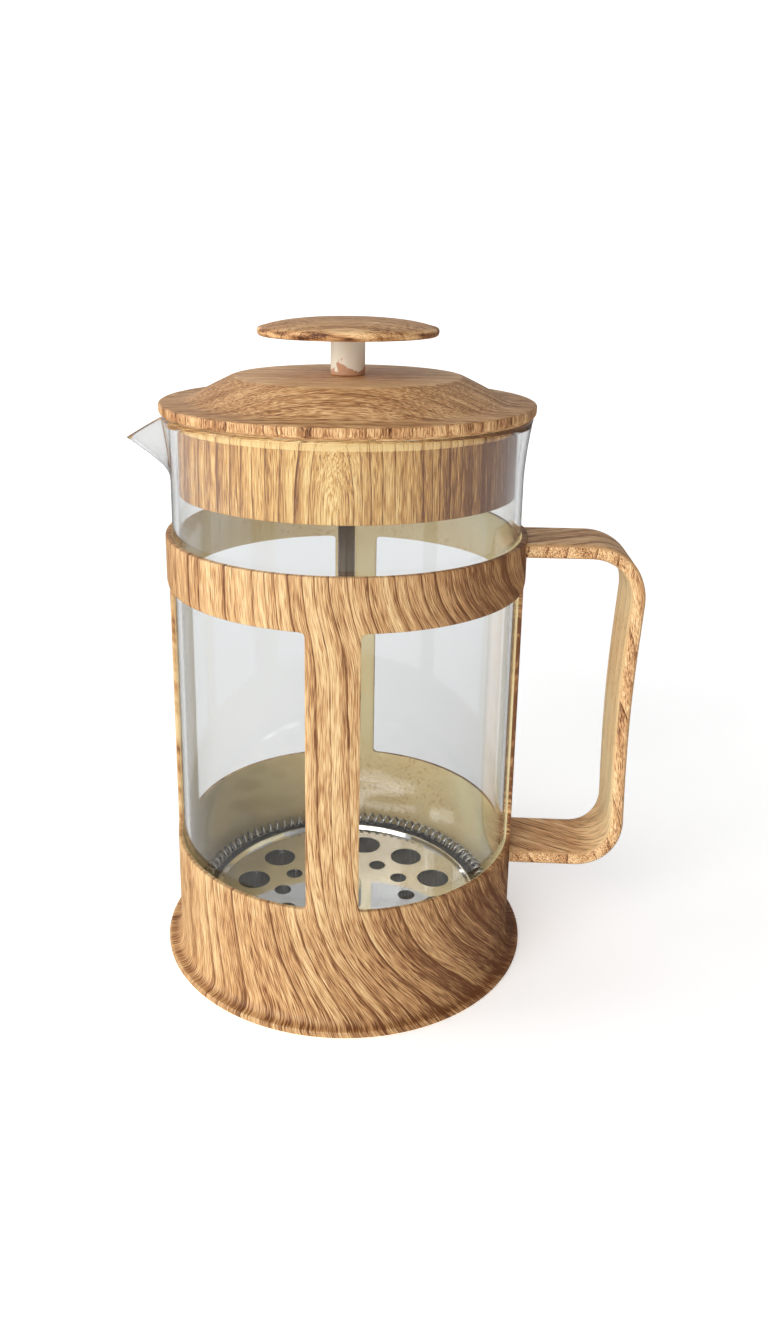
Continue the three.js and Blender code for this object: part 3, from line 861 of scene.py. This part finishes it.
strap_places = []
strap_amounts = []
strap_spots = zip(points_of(handle), kept("along"), kept("across"), kept("through"))
for spot, along, across, through in strap_spots:
    if abs(across) > HANDLE_WIDTH / 2 - 0.6:
        strap_places.append((0.8 * spot.x + 0.2 * spot.z + EDGE_WOOD, 0.5 * through, spot.z))
    else:
        strap_places.append((across + strap_lean(along), 1.2 * through, along))
    clear_of_roots = ramp(along, 20, 40) * ramp(strap_length - along, 20, 40)
    strap_amounts.append(1.0 - INSIDE_LOSS * (ramp(through, 1.4, 2.0) * clear_of_roots))
lay_print(handle, strap_places, strap_amounts, [0.0] * len(strap_amounts))
for label in ("along", "across", "through"):
    handle.data.attributes.remove(handle.data.attributes[label])
finish(handle, "cage", handle_print, ["handle"])

# %% [markdown]
# ## The beaker
# The beaker is blown glass with a flared rim and a lip pinched out on one side. It is turned as a
# closed wall, outside and inside, because glass only bends light properly when it has a real
# thickness. The lip follows a rule: near the spout, points move out and down, more so towards the
# rim. The turned columns are crowded towards the spout, where the shape changes fastest.

# %% Turn the beaker and pull its lip
rim_r, glass_bottom, rim_z = girth("beaker")
GLASS_WALL = 1.7
GLASS_FLOOR = 2.6
GLASS_FOOT_ROUND = 6.0
GLASS_FLAT_R = 24
FLARE_HEIGHT = 18.5
FLARE = 1.9
SPOUT_REACH = 12.0
SPOUT_DROP = 8.0
SPOUT_HEIGHT = 17.8
SPOUT_HALF_WIDTH = 14.0
SPOUT_PINCH = 0.3
SPOUT_CROWDING = 0.6
glass_r = rim_r - FLARE
inner_r = glass_r - GLASS_WALL
inner_floor = glass_bottom + GLASS_FLOOR
inner_foot = GLASS_FOOT_ROUND - GLASS_WALL
half_wall = GLASS_WALL / 2
keel = rim_z - SPOUT_HEIGHT


def flare_wall(r, count=14):
    """The flaring part of a wall, from its start to just under the rim."""
    shares = [0.95 * i / count for i in range(count + 1)]
    return [(r + FLARE * s**1.7, rim_z - FLARE_HEIGHT * (1 - s)) for s in shares]


def pull_lip(point):
    """Crowds a point towards the spout, then pulls it into the lip."""
    x, y, z = point
    r = hypot(x, y)
    angle = atan2(y, -x)
    angle -= SPOUT_CROWDING * sin(angle)
    x, y = -r * cos(angle), r * sin(angle)
    across = abs(y) / SPOUT_HALF_WIDTH
    if x > 0 or z < keel or across >= 1:
        return x, y, z
    pull = (1 - across**2) ** 1.5 * (z - keel) / SPOUT_HEIGHT
    return x - SPOUT_REACH * pull, y * (1 - SPOUT_PINCH * pull), z - SPOUT_DROP * pull


foot_z = glass_bottom + GLASS_FOOT_ROUND
foot_r = glass_r - GLASS_FOOT_ROUND
straight_wall = [rim_z - FLARE_HEIGHT - step for step in (100, 60, 30, 12)]
glass_profile = [(0, glass_bottom), (GLASS_FLAT_R, glass_bottom)]
glass_profile += arc(foot_r, foot_z, GLASS_FOOT_ROUND, 270, 360, 10)
glass_profile += [(glass_r, z) for z in straight_wall] + flare_wall(glass_r)
glass_profile += arc(rim_r - half_wall, rim_z - half_wall, half_wall, 10, 170, 10)
glass_profile += flare_wall(inner_r)[::-1] + [(inner_r, z) for z in straight_wall[::-1]]
glass_profile += arc(inner_r - inner_foot, inner_floor + inner_foot, inner_foot, 360, 270, 8)
glass_profile += [(GLASS_FLAT_R, inner_floor), (0, inner_floor)]
glass_points, glass_faces = lathe(glass_profile, steps=180)
beaker = block("beaker_glass", [pull_lip(point) for point in glass_points], glass_faces)

# %% [markdown]
# The glass shader bends light, and lets lamps and bounced light straight through. Without that the
# inside of the press would sit in the dark shadow of its own beaker, because a path tracer can't
# aim lamps through curved glass. Rays that keep bouncing inside the wall are let out after the
# fourth bounce, or they would die there and draw a black line under the lid.
# The slight grey is what the wall takes away. Seen edge-on the path through it is much longer, and
# the steep fall of the tint there is partly that, and partly painted shade standing in for the dark
# outlines that refraction draws round the beaker.

# %% Glass
FACE_TINT = (0.848, 0.858, 0.86, 1.0)
EDGE_TINT_AND_SHADE = (0.3, 0.31, 0.31, 1.0)
MOST_BOUNCES = 4.5
glass, tree = fresh("beaker_clear")
# Painted shade: the colour darkens towards the edge-on outlines.
edge_on = tree.node("ShaderNodeLayerWeight", {"Blend": 0.5}, "Facing")
clear = tree.node("ShaderNodeBsdfPrincipled", {
    "Base Color": edge_on.between(0.76, 0.98).mix(FACE_TINT, EDGE_TINT_AND_SHADE),
    "Roughness": 0.0,
    "IOR": 1.5,
    "Transmission Weight": 1.0,
})
straight = tree.node("ShaderNodeBsdfTransparent", {"Color": (0.98, 0.985, 0.985, 1.0)})
trapped = tree.ray("Ray Depth").maths("GREATER_THAN", MOST_BOUNCES)
passing = (tree.ray("Is Shadow Ray") + tree.ray("Is Diffuse Ray") + trapped).clamp()
either = tree.node("ShaderNodeMixShader", {0: passing, 1: clear, 2: straight})
tree.node("ShaderNodeOutputMaterial", {"Surface": either})
finish(beaker, "glass", glass, ["beaker"], crease=60)

# %% [markdown]
# ## The lid
# The cap is a shallow dome with a flat top that ends in a crisp crease, a sloping shoulder and a
# thin rim that overhangs the glass. Below it a skirt with a proud band centres the lid in the
# beaker. Both are turned. The film was laid on the cap from above, so its streaks all run one way
# across it, and its side carries short upright ones. The flat top is made paler by painted light.

# %% Turn the cap
cap_r, guide_bottom, cap_top = girth("lid_cap")
proud_r, skirt_bottom, cap_bottom = girth("lid_collar")
rod_r, rod_bottom, rod_top = girth("rod")
LID_WALL = 2.2
LID_RIM = 3.3
SHOULDER_INSET = 7.8
DOME_INSET = 12.9
DOME_SAG = 3.1
ROD_CLEARANCE = 0.1
GUIDE_WALL = 3.0
COLLAR_WALL = 1.6
COLLAR_BAND = 3.2
COLLAR_BAND_PROUD = 0.3
rod_hole = rod_r + ROD_CLEARANCE
cap_shoulder = cap_bottom + LID_RIM
shoulder_r = cap_r - SHOULDER_INSET
dome_r = shoulder_r - DOME_INSET
skirt_r = proud_r - COLLAR_BAND_PROUD
skirt_inner = skirt_r - COLLAR_WALL
guide_r = rod_r + GUIDE_WALL
cap = turned("lid_cap_moulding", steps=192, profile=soften([
    (rod_hole, guide_bottom, 0),
    (rod_hole, cap_top, 0.25),
    (dome_r, cap_top, 1.1),
    ((dome_r + shoulder_r) / 2, cap_top - DOME_SAG, 6.0),
    (shoulder_r, cap_shoulder + 0.25, 2.2),
    (cap_r - 0.1, cap_shoulder, 0.8),
    (cap_r - 0.2, cap_bottom + 0.8, 0.6),
    (cap_r - 1.1, cap_bottom, 0.2),
    (skirt_inner - 1, cap_bottom, 0.4),
    (skirt_inner - 2, cap_bottom + 1, 0.6),
    (shoulder_r - 1.4, cap_shoulder + 0.4 - LID_WALL, 1.0),
    (dome_r - 0.6, cap_top - LID_WALL, 1.0),
    (guide_r, cap_top - LID_WALL, 0.8),
    (guide_r, guide_bottom, 0.4),
    (rod_hole, guide_bottom, 0),
])[:-1])


def cap_flow(point):
    x, y, z = point
    if hypot(x, y) > cap_r - 0.45 and z < cap_shoulder - 0.1:
        return x, y, 1.6 * z
    return 1.2 * y + 30, 0.7 * z, 1.2 * x


def cap_printed(point):
    """All that the film could reach: neither the guide tube nor the underside."""
    x, y, z = point
    r = hypot(x, y)
    if z < cap_bottom + 0.25:
        return ramp(r, cap_r - 2.4, cap_r - 1.0)
    if r < guide_r + 0.5 and z < cap_top - 0.4:
        return 0.0
    if r > cap_r - 2:
        return 1.0
    roof = cap_top
    if r >= dome_r:
        roof -= (cap_top - cap_shoulder) * (r - dome_r) / (shoulder_r - dome_r)
    return ramp(z, roof - 1.6, roof - 1.1)


def cap_tone_and_painted_light(point):
    x, y, z = point
    r = hypot(x, y)
    # Painted light makes the flat top paler; the rim's random short streaks are print.
    top = ramp(z, cap_top - 0.6, cap_top - 0.3) * ramp(dome_r - r, -0.3, 0.3)
    streak = noise.noise(Vector((0.25 * x, 0.25 * y, 0.0)))
    return 0.3 * top + (0.6 * streak - 0.02) * ramp(r, cap_r - 1.0, cap_r - 0.4)


print_by(cap, cap_flow, cap_printed, cap_tone_and_painted_light)
finish(cap, "lid", lid_print, ["lid_cap"])

# %% [markdown]
# The skirt's print shows a plank sawn across its growth rings: nested arches at the front and
# upright streaks round the sides. Measuring distance from a point low on the front, with height
# counted for about a fifth, turns straight streaks into those long arches. Painted light makes the
# proud band and the arch paler, and painted shade makes the two sides darker.

# %% Turn the skirt
band_bottom = cap_bottom - COLLAR_BAND
ARCH_Z = skirt_bottom + 2
ARCH_HEIGHT_SHARE = 0.22
PLAIN_ROWS = [(skirt_r, skirt_bottom + 1.5 * i) for i in range(1, 12)]
skirt_profile = soften([
    (skirt_inner, skirt_bottom, 0.3),
    (skirt_r, skirt_bottom, 0.45),
    (skirt_r, band_bottom, 0.15),
    (proud_r, band_bottom + 0.3, 0.15),
    (proud_r, cap_bottom, 0),
    (skirt_inner, cap_bottom, 0),
])
split = next(i for i, (r, z) in enumerate(skirt_profile) if z > skirt_bottom + 10)
skirt_profile[split:split] = PLAIN_ROWS
skirt = turned("lid_skirt", skirt_profile, steps=192)


def skirt_flow(point):
    x, y, z = point
    front = atan2(x, -y)
    out = 1.5 * hypot(skirt_r * front, ARCH_HEIGHT_SHARE * (z - ARCH_Z), 1.5)
    return out, 0.7 * skirt_r * sin(front), z


def skirt_printed(point):
    return ramp(hypot(point[0], point[1]), skirt_inner + 0.3, skirt_inner + 0.7)


def skirt_painted_light_and_shade(point):
    x, y, z = point
    across = x / skirt_r
    arch = 1 - ramp(hypot(x, ARCH_HEIGHT_SHARE * (z - ARCH_Z)), 4, 16)
    sides = 0.3 * ramp(-across, 0.4, 0.95) + 0.7 * ramp(across, 0.3, 0.95)
    # Painted highlight on the proud band and painted light on the arch; painted shade on both
    # sides, more on the handle's.
    return 0.52 * ramp(z, band_bottom, band_bottom + 0.3) + 0.12 * arch - sides


print_by(skirt, skirt_flow, skirt_printed, skirt_painted_light_and_shade)
finish(skirt, "lid", skirt_print, ["lid_collar"])

# %% [markdown]
# ## Steel
# The filter's plates are pressed from polished sheet, the rod is drawn, and the spring and screen
# are wire. They share one recipe, a metal whose roughness drifts a little with fine rub marks, and
# differ in tone and in how smooth they are.

# %% Steel finishes
EVEN_MARKS = (500.0, 500.0)
DRAWN_MARKS = (900.0, 12.0)


def steel(name, tone, rough, marks, cells=EVEN_MARKS, bump=0.0):
    material, tree = fresh(name)
    spot = tree.place()
    wear = spot.noise(*cells, detail=3.0)
    smear = spot.noise(45.0)
    dull = (wear - 0.5) * marks + (smear - 0.4) * marks * 0.8 + rough
    dark = tuple(part * 0.82 for part in tone)
    relief = {"Strength": bump, "Distance": 0.00002, "Height": wear}
    surface(
        tree,
        Base_Color=smear.between(0.3, 0.75).mix((*tone, 1.0), (*dark, 1.0)),
        Metallic=1.0,
        Roughness=dull.clamp(),
        Normal=tree.node("ShaderNodeBump", relief),
    )
    return material


polished = steel("polished_sheet", (0.93, 0.92, 0.9), rough=0.06, marks=0.08)
# The rod's steel is coloured dark and warm: painted shade, with a painted reflection of the brown
# print round it.
drawn = steel("drawn_rod", (0.17, 0.125, 0.09), 0.18, 0.14, DRAWN_MARKS, bump=0.1)
spring_wire = steel("spring_wire", (0.58, 0.57, 0.56), rough=0.2, marks=0.15)
# The screen's wire is coloured nearly black as painted shade, for the shadow under the top plate
# that shows through its holes.
woven_wire = steel("woven_wire", (0.1, 0.098, 0.095), rough=0.42, marks=0.2)
insert_brass = steel("turned_brass", (0.62, 0.43, 0.17), rough=0.28, marks=0.2)
print("materials so far:", len(bpy.data.materials))

# %% [markdown]
# ## Drilled plates
# Three discs in the press are drilled in rings of holes: the splash plate under the lid, the plate
# on top of the filter and the one below it. Each is turned first. A small tree then puts drills
# round a circle and cuts them out, so a ring of holes is just a count, a radius and a size.

# %% Drill rings of holes
DRILL_DEPTH = 10


def drill_tree(tree, size):
    ring = {"Vertices": size["Holes"], "Radius": size["Circle radius"]}
    drills = tree.node("GeometryNodeTransform", {
        "Geometry": tree.node("GeometryNodeMeshCircle", ring),
        "Rotation": tree.join(0.0, 0.0, size["Start angle"]),
        "Translation": tree.join(0.0, 0.0, size["Height"]),
    })
    tool = tree.node("GeometryNodeMeshCylinder", {
        "Vertices": size["Hole sides"], "Radius": size["Hole radius"], "Depth": size["Depth"]
    })
    tools = tree.node("GeometryNodeInstanceOnPoints", {"Points": drills, "Instance": tool})
    solid_tools = tree.node("GeometryNodeRealizeInstances", {"Geometry": tools})
    pair = {"Mesh 1": size["Geometry"], "Mesh 2": solid_tools}
    return tree.node("GeometryNodeMeshBoolean", pair, operation="DIFFERENCE", solver="EXACT")


def drill(plate, holes, circle_r, hole_r, height, start=0.0, sides=40):
    """Cuts a ring of holes in a plate."""
    values = {"Holes": int(holes), "Hole sides": sides, "Start angle": start}
    lengths = {"Circle radius": circle_r, "Hole radius": hole_r, "Height": height}
    lengths["Depth"] = DRILL_DEPTH
    values.update((label, length * MM) for label, length in lengths.items())
    grow(plate.name + "_holes", drill_tree, values, base=plate)


# %% Splash plate
STACK_GAP = 0.05
splash_r, splash_bottom, splash_top = girth("splash_plate")
splash = turned("splash_disc", washer(rod_hole, splash_r, splash_bottom, splash_top))
drill(splash, holes=12, circle_r=skirt_inner - 6.0, hole_r=1.5, height=splash_top)
ease(splash, 0.08)
finish(splash, "lid", polished, ["splash_plate"], flat=True)

# %% [markdown]
# ## The plunger's top
# The knob is a flat disc with a crowned top and a full round rim, printed like the lid, with the
# film bunched into dark patches along the rim. It sits on a short off-white shank with a brass
# insert, into which the rod screws. The print's overspray left brown smudges at the shank's foot.

# %% Knob
knob_r, knob_bottom, knob_top = girth("knob")
shank_r, shank_bottom, shank_top = girth("knob_shank")
socket_z = shank_top + STACK_GAP
socket_r = shank_r + STACK_GAP
knob = turned("knob_disc", ring=False, profile=soften([
    (0, socket_z, 0),
    (socket_r, socket_z, 0.1),
    (socket_r, knob_bottom + 0.3, 0.3),
    (knob_r - 3, knob_bottom, 1.0),
    (knob_r - 0.3, knob_bottom + 0.1, 1.1),
    (knob_r, knob_bottom + 2.3, 1.2),
    (knob_r - 6, knob_bottom + 3.9, 5.0),
    (knob_r - 14, knob_top - 0.25, 8.0),
    (0, knob_top, 0),
], steps=6))


def knob_flow(point):
    x, y, z = point
    return 1.2 * y + 90, 1.3 * z, x


def knob_printed(point):
    return 1.0


def knob_tone(point):
    x, y, z = point
    rim = ramp(hypot(x, y), knob_r - 1.6, knob_r - 0.6)
    return 0.9 * rim * noise.noise(Vector((0.14 * x, 0.14 * y, 1.1 * z)))


print_by(knob, knob_flow, knob_printed, knob_tone)
finish(knob, "plunger", lid_print, ["knob"])

# %% Shank, insert and rod
insert_r, insert_bottom, insert_top = girth("knob_insert")
pocket_r = insert_r + STACK_GAP
pocket_z = insert_bottom - STACK_GAP
shank = turned("knob_shank_moulding", steps=64, profile=soften([
    (rod_hole, shank_bottom, 0.15),
    (shank_r, shank_bottom, 0.5),
    (shank_r, shank_top, 0),
    (pocket_r, shank_top, 0),
    (pocket_r, pocket_z, 0),
    (rod_hole, pocket_z, 0),
]))
white, tree = fresh("white_moulding")
spot = tree.place()
height = (spot.part("Z") * (1 / MM) - shank_bottom) / (shank_top - shank_bottom)
smudge = (spot.noise(240.0, detail=3.0) - height * 0.9).between(0.3, 0.36)
clean = spot.noise(120.0).mix(srgb(254, 250, 234), srgb(250, 243, 222))
surface(
    tree,
    Base_Color=(smudge * 0.8).mix(clean, srgb(192, 124, 66)),
    Roughness=0.36 + smudge * 0.15,
    Subsurface_Weight=0.08,
    Subsurface_Scale=0.002,
)
finish(shank, "plunger", white, ["knob_shank"])

bore = rod_r + STACK_GAP
insert_profile = washer(bore, insert_r, insert_bottom, insert_top, rounding=0.2)
insert = turned("threaded_insert", insert_profile, steps=48)
finish(insert, "plunger", insert_brass, ["knob_insert"])

rod_profile = washer(0, rod_r, rod_bottom, rod_top, rounding=0.4)
rod = turned("plunger_rod", rod_profile, steps=48, ring=False)
finish(rod, "plunger", drawn, ["rod"])

# %% [markdown]
# ## The filter stack
# From the bottom: a nut, a plate with wide holes, a woven screen, and a small-holed plate whose
# rolled bead holds a spring against the glass. The plates use the drill tree again. How many holes
# a ring has follows from their pitch, so a wider filter gets more holes and not wider gaps.

# %% Top plate and cross plate
PLATE_THICK = 0.6
BEAD_R = 0.9
BIG_HOLE_R, BIG_PITCH = 5.2, 15.4
SMALL_HOLE_R, SMALL_PITCH = 2.7, 9.9
CROSS_HOLE_R, CROSS_PITCH = 7.5, 22
PLATE_EASE = 0.12
plate_r, plate_bottom, _ = girth("top_plate")
plate_top = plate_bottom + PLATE_THICK
plate_profile = [(bore, plate_bottom), (plate_r - 14, plate_bottom)]
plate_profile += arc(plate_r - BEAD_R, plate_bottom + BEAD_R, BEAD_R, 270, 470, 14)
plate_profile += [(r, plate_top) for r in (plate_r - 2 * BEAD_R, plate_r - 5, bore)]
plate = turned("filter_top_plate", plate_profile, steps=180)
big_circle = plate_r - 12.0
small_circle = big_circle - 10.6
big_holes = 2 * pi * big_circle / BIG_PITCH
small_holes = 2 * pi * small_circle / SMALL_PITCH
drill(plate, big_holes, big_circle, BIG_HOLE_R, plate_top, start=pi / 9)
drill(plate, small_holes, small_circle, SMALL_HOLE_R, plate_top, sides=28)
ease(plate, PLATE_EASE)
finish(plate, "plunger", polished, ["top_plate"], flat=True)

cross_r, cross_bottom, cross_top = girth("cross_plate")
cross_circle = cross_r - CROSS_HOLE_R - 5.0
cross = turned("filter_cross_plate", washer(bore, cross_r, cross_bottom, cross_top))
drill(cross, 2 * pi * cross_circle / CROSS_PITCH, cross_circle, CROSS_HOLE_R, cross_top)
ease(cross, PLATE_EASE)
finish(cross, "plunger", polished, ["cross_plate"], flat=True)

# %% Stop collar and nut
stop_r, stop_bottom, stop_top = girth("rod_stop")
stop = turned("rod_collar", steps=48, profile=soften([
    (bore, stop_bottom, 0),
    (stop_r, stop_bottom, 0.3),
    (stop_r, stop_top - 1.2, 0.4),
    (stop_r - 1.4, stop_top, 0.5),
    (bore, stop_top, 0.1),
]))
finish(stop, "plunger", polished, ["rod_stop"], flat=True)

NUT_STEPS = 48
NUT_SIDES = 6
nut_r, nut_bottom, nut_top = girth("clamp_nut")
nut_points, nut_faces = lathe(washer(bore, nut_r, nut_bottom, nut_top), NUT_STEPS, ring=True)


def flatten(point, step):
    """Brings a point of the nut's round wall on to the flat side it belongs to."""
    x, y, z = point
    if hypot(x, y) < nut_r - 0.01:
        return point
    per_side = NUT_STEPS // NUT_SIDES
    turn = (step % per_side - per_side / 2) * 2 * pi / NUT_STEPS
    share = cos(pi / NUT_SIDES) / cos(turn)
    return x * share, y * share, z


flat_points = [flatten(point, i % NUT_STEPS) for i, point in enumerate(nut_points)]
nut = block("stack_nut", flat_points, nut_faces)
ease(nut, 0.25, angle=40)
finish(nut, "plunger", drawn, ["clamp_nut"], crease=25)

# %% [markdown]
# ## Spring and screen
# The spring is one wire wound round a ring. Its rule is short: go round the big circle once while
# turning many times round the small one. The tree bends a straight line of points that way and
# gives it a wire's thickness.

# %% Wind the spring
COIL_WIRE_R = 0.42
COIL_PITCH = 2.9
coil_r, coil_bottom, coil_top = girth("coil_spring")
coil_tube = (coil_top - coil_bottom) / 2
coil_ring = coil_r - coil_tube


def spring_tree(tree, size):
    count = size["Turns"] * size["Points to a turn"]
    start = tree.node("GeometryNodeCurvePrimitiveLine")
    line = tree.node("GeometryNodeResampleCurve", {"Curve": start, "Count": count})
    around = tree.node("GeometryNodeInputIndex") / count * (2 * pi)
    twist = around * size["Turns"]
    reach = size["Ring radius"] + twist.maths("COSINE") * size["Coil radius"]
    height = twist.maths("SINE") * size["Coil radius"] + size["Height"]
    place = tree.join(around.maths("COSINE") * reach, around.maths("SINE") * reach, height)
    bent = tree.node("GeometryNodeSetPosition", {"Geometry": line, "Position": place})
    loop = tree.node("GeometryNodeSetSplineCyclic", {"Geometry": bent, "Cyclic": True})
    section = {"Resolution": 6, "Radius": size["Wire radius"]}
    wire = tree.node("GeometryNodeCurvePrimitiveCircle", section)
    return sweep(loop, wire, caps=False)


spring = grow("edge_spring", spring_tree, {
    "Turns": int(2 * pi * coil_ring / COIL_PITCH),
    "Points to a turn": 14,
    "Ring radius": coil_ring * MM,
    "Coil radius": (coil_tube - COIL_WIRE_R) * MM,
    "Wire radius": COIL_WIRE_R * MM,
    "Height": (coil_bottom + coil_top) / 2 * MM,
})
finish(spring, "plunger", spring_wire, ["coil_spring"], crease=80)

# %% [markdown]
# The screen is plain-woven wire: each wire goes over one and under the next. On a square grid of
# crossings that is a height that flips sign from one crossing to the next, and the second layer
# has the opposite sign. A wire needs a point only at each crossing, and four sides, because there
# are a hundred of them. The wires are flat and wide, so that the weave is as closed as a fine one.

# %% Weave the screen
SCREEN_PITCH = 1.0
SCREEN_WIRE_WIDTH = 0.66
SCREEN_WIRE_THICK = 0.07
SCREEN_HEM = 1.6
screen_r, screen_bottom, screen_top = girth("mesh_screen")


def weave_tree(tree, size):
    pitch = size["Pitch"]
    start = 0.0 - (size["Wires"] - 1) * pitch * 0.5
    spot = tree.node("GeometryNodeInputPosition")
    x, y = spot.part("X"), spot.part("Y")

    def line(lead):
        """A row of points, one to a wire, along x, or along y if there is a leading zero."""
        return tree.node("GeometryNodeMeshLine", {
            "Count": size["Wires"],
            "Start Location": tree.join(*lead, start),
            "Offset": tree.join(*lead, pitch),
        }, mode="OFFSET")

    def layer(side):
        """Wires along x that rise and fall, by half a wire's height to each side."""
        copies = {"Points": line([0.0]), "Instance": line([])}
        wires = tree.node("GeometryNodeInstanceOnPoints", copies)
        flip = ((x + y) / pitch * pi).maths("COSINE")
        lift = flip * size["Wire height"] * side + size["Height"]
        raised = {
            "Geometry": tree.node("GeometryNodeRealizeInstances", {"Geometry": wires}),
            "Position": tree.join(x, y, lift),
        }
        return tree.node("GeometryNodeSetPosition", raised)

    across = {"Geometry": layer(-0.5), "Rotation": (0, 0, pi / 2)}
    both = tree.node("GeometryNodeJoinGeometry")
    for wires in (layer(0.5), tree.node("GeometryNodeTransform", across)):
        tree.tree.links.new(wires.socket, both.socket.node.inputs[0])
    square = x * x + y * y
    outside = square.maths("GREATER_THAN", size["Radius"] ** 2)
    hub = square.maths("LESS_THAN", size["Hub radius"] ** 2)
    cut = {"Geometry": both, "Selection": (outside + hub).clamp()}
    trimmed = tree.node("GeometryNodeDeleteGeometry", cut, domain="POINT")
    wires = tree.node("GeometryNodeMeshToCurve", {"Mesh": trimmed})
    return sweep(wires, oblong(size["Wire width"], size["Wire height"]))


screen = grow("woven_screen", weave_tree, {
    "Wires": int(2 * screen_r / SCREEN_PITCH),
    "Pitch": SCREEN_PITCH * MM,
    "Radius": (screen_r - 0.6) * MM,
    "Hub radius": (rod_r + 0.4) * MM,
    "Wire width": SCREEN_WIRE_WIDTH * MM,
    "Wire height": SCREEN_WIRE_THICK * MM,
    "Height": (screen_bottom + 0.15) * MM,
})
finish(screen, "plunger", woven_wire, ["mesh_screen"], crease=80)

# %% [markdown]
# A turned hem folds over the ends of the wires, so that none of them can scratch the glass.

# %% Hem of the screen
hem = turned("screen_hem", soften([
    (screen_r - SCREEN_HEM, screen_bottom, 0.1),
    (screen_r, screen_bottom, 0.2),
    (screen_r, screen_top, 0.1),
    (screen_r - 0.3, screen_top, 0.1),
    (screen_r - 0.5, screen_bottom + 0.4, 0.1),
    (screen_r - SCREEN_HEM, screen_bottom + 0.35, 0.1),
]))
finish(hem, "plunger", woven_wire, [])
